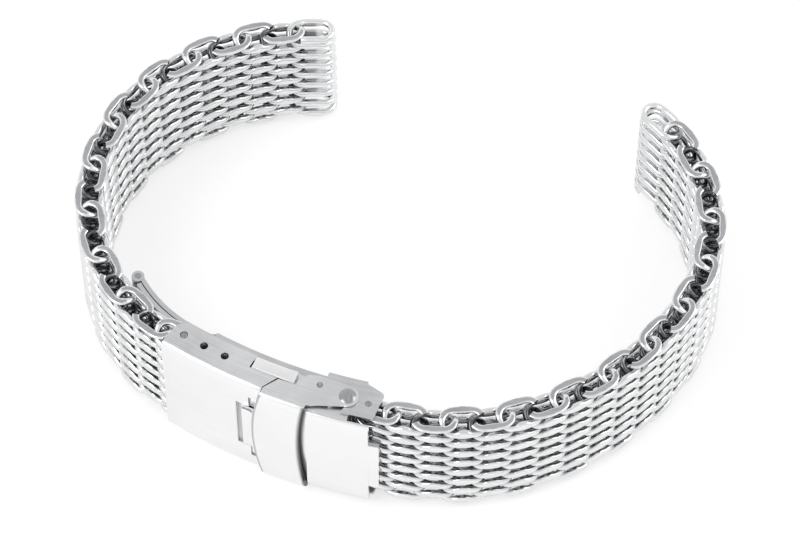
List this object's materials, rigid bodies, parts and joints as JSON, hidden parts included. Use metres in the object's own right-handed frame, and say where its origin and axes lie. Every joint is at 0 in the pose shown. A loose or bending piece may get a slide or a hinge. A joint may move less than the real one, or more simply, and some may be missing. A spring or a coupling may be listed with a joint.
{
  "type": "milanese mesh watch band",
  "caption": "Thick woven steel mesh watch band with flexible straps joined by a curved folding clasp with a safety flap, standing on its edge as worn.",
  "frame": {"origin": "middle of the footprint, at the lowest point of the clasp on which the band stands", "axes": "+Z along the width of the band, +Y from the clasp towards the watch ends, +X to the right seen from the clasp's outside"},
  "size_m": [0.0936, 0.071, 0.0225],
  "materials": {
    "mesh_steel": "polished wire with ground edges",
    "cover_steel": "mirror polished outside, brushed side walls",
    "blade_steel": "satin brushed sheet",
    "pin_steel": "turned and polished"
  },
  "bodies": {
    "clasp_cover": {"cover": "cover_steel", "hinge_pin_cover": "pin_steel", "spring_bar_l": "pin_steel"},
    "middle_blade": {"blade_mid": "blade_steel"},
    "inner_blade": {"blade_inner": "blade_steel", "hinge_pin_fold": "pin_steel", "spring_bar_r": "pin_steel"},
    "safety_flap": {"flap": "cover_steel", "flap_rivet": "pin_steel"},
    "upper_button": {"push_button_upper": "cover_steel"},
    "lower_button": {"push_button_lower": "cover_steel"},
    "left_01": {"coil_l01": "mesh_steel"},
    "left_02": {"coil_l02": "mesh_steel"},
    "left_03": {"coil_l03": "mesh_steel"},
    "left_04": {"coil_l04": "mesh_steel"},
    "left_05": {"coil_l05": "mesh_steel"},
    "left_06": {"coil_l06": "mesh_steel"},
    "left_07": {"coil_l07": "mesh_steel"},
    "left_08": {"coil_l08": "mesh_steel"},
    "left_09": {"coil_l09": "mesh_steel"},
    "left_10": {"coil_l10": "mesh_steel"},
    "left_11": {"coil_l11": "mesh_steel"},
    "left_12": {"coil_l12": "mesh_steel"},
    "left_13": {"coil_l13": "mesh_steel"},
    "left_14": {"coil_l14": "mesh_steel"},
    "left_15": {"coil_l15": "mesh_steel"},
    "left_16": {"coil_l16": "mesh_steel"},
    "left_17": {"coil_l17": "mesh_steel"},
    "left_18": {"coil_l18": "mesh_steel"},
    "left_19": {"coil_l19": "mesh_steel"},
    "left_20": {"coil_l20": "mesh_steel"},
    "right_01": {"coil_r01": "mesh_steel"},
    "right_02": {"coil_r02": "mesh_steel"},
    "right_03": {"coil_r03": "mesh_steel"},
    "right_04": {"coil_r04": "mesh_steel"},
    "right_05": {"coil_r05": "mesh_steel"},
    "right_06": {"coil_r06": "mesh_steel"},
    "right_07": {"coil_r07": "mesh_steel"},
    "right_08": {"coil_r08": "mesh_steel"},
    "right_09": {"coil_r09": "mesh_steel"},
    "right_10": {"coil_r10": "mesh_steel"},
    "right_11": {"coil_r11": "mesh_steel"},
    "right_12": {"coil_r12": "mesh_steel"},
    "right_13": {"coil_r13": "mesh_steel"},
    "right_14": {"coil_r14": "mesh_steel"},
    "right_15": {"coil_r15": "mesh_steel"},
    "right_16": {"coil_r16": "mesh_steel"},
    "right_17": {"coil_r17": "mesh_steel"},
    "right_18": {"coil_r18": "mesh_steel"},
    "right_19": {"coil_r19": "mesh_steel"},
    "right_20": {"coil_r20": "mesh_steel"},
    "right_21": {"coil_r21": "mesh_steel"},
    "right_22": {"coil_r22": "mesh_steel"}
  },
  "joints": [
    {"name": "blade_fold", "type": "hinge", "parent": "clasp_cover", "child": "middle_blade", "pos_m": [-0.01487, -0.02642, 0.01125], "axis": [0, 0, 1], "range_deg": [-150, 0]},
    {"name": "blade_unfold", "type": "hinge", "parent": "middle_blade", "child": "inner_blade", "pos_m": [-0.03736, -0.00838, 0.01125], "axis": [0, 0, 1], "range_deg": [0, 150]},
    {"name": "flap_lift", "type": "hinge", "parent": "clasp_cover", "child": "safety_flap", "pos_m": [-0.0073, -0.03022, 0.01125], "axis": [0, 0, 1], "range_deg": [0, 105]},
    {"name": "upper_press", "type": "slide", "parent": "clasp_cover", "child": "upper_button", "axis": [0, 0, -1], "range_m": [0, 0.0005], "stiffness_N_per_m": 2000},
    {"name": "lower_press", "type": "slide", "parent": "clasp_cover", "child": "lower_button", "axis": [0, 0, 1], "range_m": [0, 0.0005], "stiffness_N_per_m": 2000},
    {"name": "left_bend_01", "type": "hinge", "parent": "clasp_cover", "child": "left_01", "pos_m": [-0.03031, -0.02029, 0.01125], "axis": [0, 0, 1], "range_deg": [-0.5, 2]},
    {"name": "left_bend_02", "type": "hinge", "parent": "left_01", "child": "left_02", "pos_m": [-0.03322, -0.01853, 0.01125], "axis": [0, 0, 1], "range_deg": [-1, 20]},
    {"name": "left_bend_03", "type": "hinge", "parent": "left_02", "child": "left_03", "pos_m": [-0.03629, -0.01597, 0.01125], "axis": [0, 0, 1], "range_deg": [-1.5, 20]},
    {"name": "left_bend_04", "type": "hinge", "parent": "left_03", "child": "left_04", "pos_m": [-0.03896, -0.01299, 0.01125], "axis": [0, 0, 1], "range_deg": [-2, 20]},
    {"name": "left_bend_05", "type": "hinge", "parent": "left_04", "child": "left_05", "pos_m": [-0.04116, -0.00965, 0.01125], "axis": [0, 0, 1], "range_deg": [-3.5, 20]},
    {"name": "left_bend_06", "type": "hinge", "parent": "left_05", "child": "left_06", "pos_m": [-0.04284, -0.00602, 0.01125], "axis": [0, 0, 1], "range_deg": [-3.5, 20]},
    {"name": "left_bend_07", "type": "hinge", "parent": "left_06", "child": "left_07", "pos_m": [-0.044, -0.00219, 0.01125], "axis": [0, 0, 1], "range_deg": [-3.5, 20]},
    {"name": "left_bend_08", "type": "hinge", "parent": "left_07", "child": "left_08", "pos_m": [-0.04461, 0.00176, 0.01125], "axis": [0, 0, 1], "range_deg": [-3.5, 20]},
    {"name": "left_bend_09", "type": "hinge", "parent": "left_08", "child": "left_09", "pos_m": [-0.04467, 0.00576, 0.01125], "axis": [0, 0, 1], "range_deg": [-3.5, 20]},
    {"name": "left_bend_10", "type": "hinge", "parent": "left_09", "child": "left_10", "pos_m": [-0.04417, 0.00973, 0.01125], "axis": [0, 0, 1], "range_deg": [-3.5, 20]},
    {"name": "left_bend_11", "type": "hinge", "parent": "left_10", "child": "left_11", "pos_m": [-0.04312, 0.01359, 0.01125], "axis": [0, 0, 1], "range_deg": [-3.5, 20]},
    {"name": "left_bend_12", "type": "hinge", "parent": "left_11", "child": "left_12", "pos_m": [-0.04154, 0.01726, 0.01125], "axis": [0, 0, 1], "range_deg": [-3.5, 20]},
    {"name": "left_bend_13", "type": "hinge", "parent": "left_12", "child": "left_13", "pos_m": [-0.03944, 0.02067, 0.01125], "axis": [0, 0, 1], "range_deg": [-3.5, 20]},
    {"name": "left_bend_14", "type": "hinge", "parent": "left_13", "child": "left_14", "pos_m": [-0.03688, 0.02374, 0.01125], "axis": [0, 0, 1], "range_deg": [-3.5, 20]},
    {"name": "left_bend_15", "type": "hinge", "parent": "left_14", "child": "left_15", "pos_m": [-0.03391, 0.02642, 0.01125], "axis": [0, 0, 1], "range_deg": [-3.5, 20]},
    {"name": "left_bend_16", "type": "hinge", "parent": "left_15", "child": "left_16", "pos_m": [-0.03059, 0.02865, 0.01125], "axis": [0, 0, 1], "range_deg": [-3.5, 18.6]},
    {"name": "left_bend_17", "type": "hinge", "parent": "left_16", "child": "left_17", "pos_m": [-0.02703, 0.03048, 0.01125], "axis": [0, 0, 1], "range_deg": [-3.5, 18.6]},
    {"name": "left_bend_18", "type": "hinge", "parent": "left_17", "child": "left_18", "pos_m": [-0.02329, 0.03189, 0.01125], "axis": [0, 0, 1], "range_deg": [-3.5, 18.6]},
    {"name": "left_bend_19", "type": "hinge", "parent": "left_18", "child": "left_19", "pos_m": [-0.01941, 0.03286, 0.01125], "axis": [0, 0, 1], "range_deg": [-3.5, 18.6]},
    {"name": "left_bend_20", "type": "hinge", "parent": "left_19", "child": "left_20", "pos_m": [-0.01544, 0.03337, 0.01125], "axis": [0, 0, 1], "range_deg": [-3.5, 18.6]},
    {"name": "right_bend_01", "type": "hinge", "parent": "inner_blade", "child": "right_01", "pos_m": [-0.00439, -0.03128, 0.01125], "axis": [0, 0, 1], "range_deg": [-12, 3]},
    {"name": "right_bend_02", "type": "hinge", "parent": "right_01", "child": "right_02", "pos_m": [-0.00117, -0.03235, 0.01125], "axis": [0, 0, 1], "range_deg": [-19, 3.8]},
    {"name": "right_bend_03", "type": "hinge", "parent": "right_02", "child": "right_03", "pos_m": [0.00275, -0.03314, 0.01125], "axis": [0, 0, 1], "range_deg": [-19, 3.8]},
    {"name": "right_bend_04", "type": "hinge", "parent": "right_03", "child": "right_04", "pos_m": [0.00674, -0.03345, 0.01125], "axis": [0, 0, 1], "range_deg": [-19, 3.8]},
    {"name": "right_bend_05", "type": "hinge", "parent": "right_04", "child": "right_05", "pos_m": [0.01074, -0.03327, 0.01125], "axis": [0, 0, 1], "range_deg": [-19, 3.8]},
    {"name": "right_bend_06", "type": "hinge", "parent": "right_05", "child": "right_06", "pos_m": [0.01468, -0.0326, 0.01125], "axis": [0, 0, 1], "range_deg": [-19, 3.8]},
    {"name": "right_bend_07", "type": "hinge", "parent": "right_06", "child": "right_07", "pos_m": [0.01851, -0.03146, 0.01125], "axis": [0, 0, 1], "range_deg": [-17.4, 3.8]},
    {"name": "right_bend_08", "type": "hinge", "parent": "right_07", "child": "right_08", "pos_m": [0.02222, -0.02996, 0.01125], "axis": [0, 0, 1], "range_deg": [-17.4, 3.8]},
    {"name": "right_bend_09", "type": "hinge", "parent": "right_08", "child": "right_09", "pos_m": [0.02577, -0.02812, 0.01125], "axis": [0, 0, 1], "range_deg": [-17.4, 3.8]},
    {"name": "right_bend_10", "type": "hinge", "parent": "right_09", "child": "right_10", "pos_m": [0.02914, -0.02595, 0.01125], "axis": [0, 0, 1], "range_deg": [-17.4, 3.8]},
    {"name": "right_bend_11", "type": "hinge", "parent": "right_10", "child": "right_11", "pos_m": [0.03228, -0.02348, 0.01125], "axis": [0, 0, 1], "range_deg": [-17.4, 3.8]},
    {"name": "right_bend_12", "type": "hinge", "parent": "right_11", "child": "right_12", "pos_m": [0.03518, -0.02072, 0.01125], "axis": [0, 0, 1], "range_deg": [-17.4, 3.8]},
    {"name": "right_bend_13", "type": "hinge", "parent": "right_12", "child": "right_13", "pos_m": [0.0378, -0.0177, 0.01125], "axis": [0, 0, 1], "range_deg": [-17.4, 3.8]},
    {"name": "right_bend_14", "type": "hinge", "parent": "right_13", "child": "right_14", "pos_m": [0.04013, -0.01445, 0.01125], "axis": [0, 0, 1], "range_deg": [-17.4, 3.8]},
    {"name": "right_bend_15", "type": "hinge", "parent": "right_14", "child": "right_15", "pos_m": [0.04214, -0.01099, 0.01125], "axis": [0, 0, 1], "range_deg": [-20.9, 3.1]},
    {"name": "right_bend_16", "type": "hinge", "parent": "right_15", "child": "right_16", "pos_m": [0.0436, -0.00727, 0.01125], "axis": [0, 0, 1], "range_deg": [-20.9, 3.1]},
    {"name": "right_bend_17", "type": "hinge", "parent": "right_16", "child": "right_17", "pos_m": [0.04445, -0.00336, 0.01125], "axis": [0, 0, 1], "range_deg": [-20.9, 3.1]},
    {"name": "right_bend_18", "type": "hinge", "parent": "right_17", "child": "right_18", "pos_m": [0.0447, 0.00063, 0.01125], "axis": [0, 0, 1], "range_deg": [-20.9, 3.1]},
    {"name": "right_bend_19", "type": "hinge", "parent": "right_18", "child": "right_19", "pos_m": [0.04432, 0.00461, 0.01125], "axis": [0, 0, 1], "range_deg": [-20.9, 3.1]},
    {"name": "right_bend_20", "type": "hinge", "parent": "right_19", "child": "right_20", "pos_m": [0.04333, 0.00849, 0.01125], "axis": [0, 0, 1], "range_deg": [-20.9, 3.1]},
    {"name": "right_bend_21", "type": "hinge", "parent": "right_20", "child": "right_21", "pos_m": [0.04176, 0.01217, 0.01125], "axis": [0, 0, 1], "range_deg": [-20.9, 3.1]},
    {"name": "right_bend_22", "type": "hinge", "parent": "right_21", "child": "right_22", "pos_m": [0.03963, 0.01555, 0.01125], "axis": [0, 0, 1], "range_deg": [-20.9, 3.1]}
  ],
  "couplings": [
    {"joint": "blade_unfold", "follows": "blade_fold", "ratio": -1}
  ]
}
